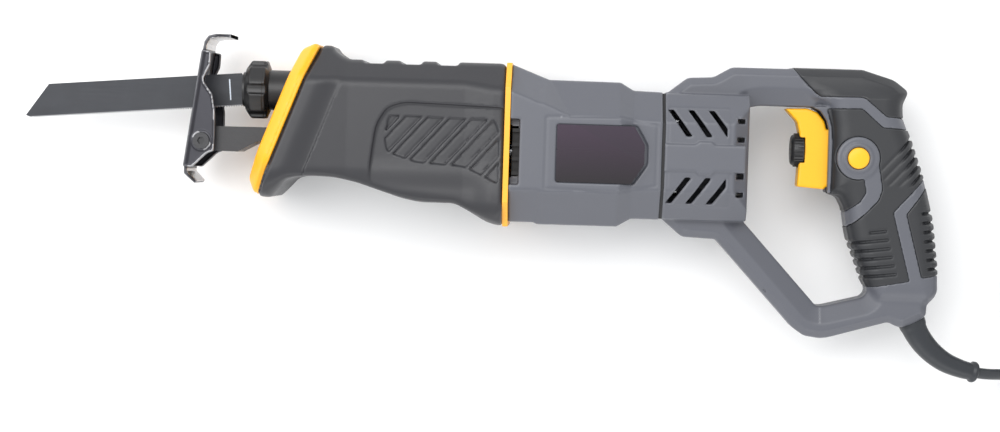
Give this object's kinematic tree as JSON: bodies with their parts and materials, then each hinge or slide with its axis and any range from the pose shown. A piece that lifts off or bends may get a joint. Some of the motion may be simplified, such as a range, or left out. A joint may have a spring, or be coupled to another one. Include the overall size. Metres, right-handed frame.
{
  "type": "corded reciprocating saw",
  "caption": "Corded reciprocating saw with a rubber-booted gearbox, pivoting shoe, keyless blade clamp, closed hand grip and coiled mains cord, lying on its side.",
  "frame": {"origin": "centre of the saw's base as it lies on its right side, without its cord: midway between blade tip and grip, on the table", "axes": "+X from the blade to the handle, +Y up when the saw is held upright, +Z to the saw's left side"},
  "size_m": [0.6886, 0.1875, 0.08],
  "materials": {
    "blade_steel": "dark oxide coated, satin",
    "bright_steel": "ground",
    "dark_steel": "blackened",
    "spring_steel": "drawn wire",
    "zinc_steel": "zinc plated",
    "shoe_steel": "dark coated sheet, satin",
    "sintered_bronze": "sintered",
    "seal_rubber": "matt",
    "gearcase_aluminium": "die cast",
    "boot_rubber": "matt, fine grain",
    "accent_yellow": "satin, moulded",
    "housing_plastic": "fine grained",
    "badge_plastic": "satin label",
    "black_plastic": "moulded",
    "lamination_steel": "stacked sheets",
    "enamelled_copper": "lacquered wire",
    "commutator_copper": "turned",
    "carbon": "pressed carbon",
    "brass": "drawn",
    "grip_rubber": "soft, ribbed",
    "cord_rubber": "satin",
    "film_capacitor": "moulded case",
    "pin_steel": "nickel plated"
  },
  "bodies": {
    "body": {"front_bushing": "sintered_bronze", "rod_seal": "seal_rubber", "rear_bushing": "sintered_bronze", "gearbox_case": "gearcase_aluminium", "gearbox_cover": "gearcase_aluminium", "gearbox_screws": "zinc_steel", "bearing_plate": "gearcase_aluminium", "crank_bearing": "bright_steel", "shoe_bracket": "shoe_steel", "shoe_pivot": "dark_steel", "nose_ring": "accent_yellow", "front_boot": "boot_rubber", "accent_ring": "accent_yellow", "motor_housing": "housing_plastic", "badge_left": "badge_plastic", "badge_right": "badge_plastic", "vent_screen": "black_plastic", "field_core": "lamination_steel", "field_coils": "enamelled_copper", "front_motor_bearing": "bright_steel", "rear_motor_bearing": "bright_steel", "brush_holders": "brass", "carbon_brushes": "carbon", "brush_springs": "spring_steel", "motor_screws": "zinc_steel", "handle_seal": "seal_rubber", "handle_left": "housing_plastic", "handle_right": "housing_plastic", "grip_left": "grip_rubber", "grip_right": "grip_rubber", "handle_screws": "zinc_steel", "power_switch": "black_plastic", "suppressor": "film_capacitor", "cord_clamp": "black_plastic", "strain_relief": "cord_rubber", "power_cord": "cord_rubber", "cord_coil": "cord_rubber", "cord_clip": "black_plastic", "mains_plug": "black_plastic", "plug_pins": "pin_steel"},
    "plunger": {"saw_blade": "blade_steel", "clamp_core": "dark_steel", "blade_pin": "bright_steel", "plunger_rod": "bright_steel", "plunger_yoke": "dark_steel"},
    "collar": {"clamp_collar": "black_plastic", "collar_spring": "spring_steel"},
    "crank": {"crank_gear": "dark_steel", "crank_roller": "bright_steel"},
    "armature": {"armature_shaft": "bright_steel", "armature_core": "lamination_steel", "armature_winding": "enamelled_copper", "commutator": "commutator_copper", "drive_pinion": "dark_steel", "cooling_fan": "black_plastic"},
    "shoe": {"shoe": "shoe_steel"},
    "trigger": {"trigger": "accent_yellow", "trigger_spring": "spring_steel"},
    "dial": {"speed_dial": "black_plastic"},
    "button": {"lock_button": "accent_yellow"}
  },
  "joints": [
    {"name": "armature_spin", "type": "hinge", "parent": "body", "child": "armature", "pos_m": [0.05679, 0.01962, 0.04], "axis": [1, 0, 0], "continuous": true},
    {"name": "crank_spin", "type": "hinge", "parent": "body", "child": "crank", "pos_m": [-0.03322, 0.01962, 0.04], "axis": [0, 1, 0], "continuous": true},
    {"name": "plunger_slide", "type": "slide", "parent": "body", "child": "plunger", "axis": [1, 0, 0], "range_m": [-0.01, 0.01]},
    {"name": "collar_turn", "type": "hinge", "parent": "plunger", "child": "collar", "pos_m": [-0.12821, 0.05062, 0.04], "axis": [1, 0, 0], "range_deg": [0, 60], "stiffness_Nm_per_rad": 0.05, "deforming": ["collar_spring"]},
    {"name": "shoe_tilt", "type": "hinge", "parent": "body", "child": "shoe", "pos_m": [-0.15771, 0.02031, 0.04], "axis": [0, 0, 1], "range_deg": [-6, 30]},
    {"name": "trigger_pull", "type": "slide", "parent": "body", "child": "trigger", "axis": [1, 0, 0], "range_m": [0, 0.006], "stiffness_N_per_m": 900, "springref_m": -0.003, "deforming": ["trigger_spring"]},
    {"name": "dial_turn", "type": "hinge", "parent": "trigger", "child": "dial", "pos_m": [0.18229, 0.02551, 0.04], "axis": [1, 0, 0], "range_deg": [-140, 140]},
    {"name": "button_press", "type": "slide", "parent": "body", "child": "button", "axis": [0, 0, -1], "range_m": [0, 0.003], "stiffness_N_per_m": 400, "springref_m": -0.002}
  ],
  "couplings": [
    {"joint": "crank_spin", "follows": "armature_spin", "ratio": -0.17391}
  ]
}
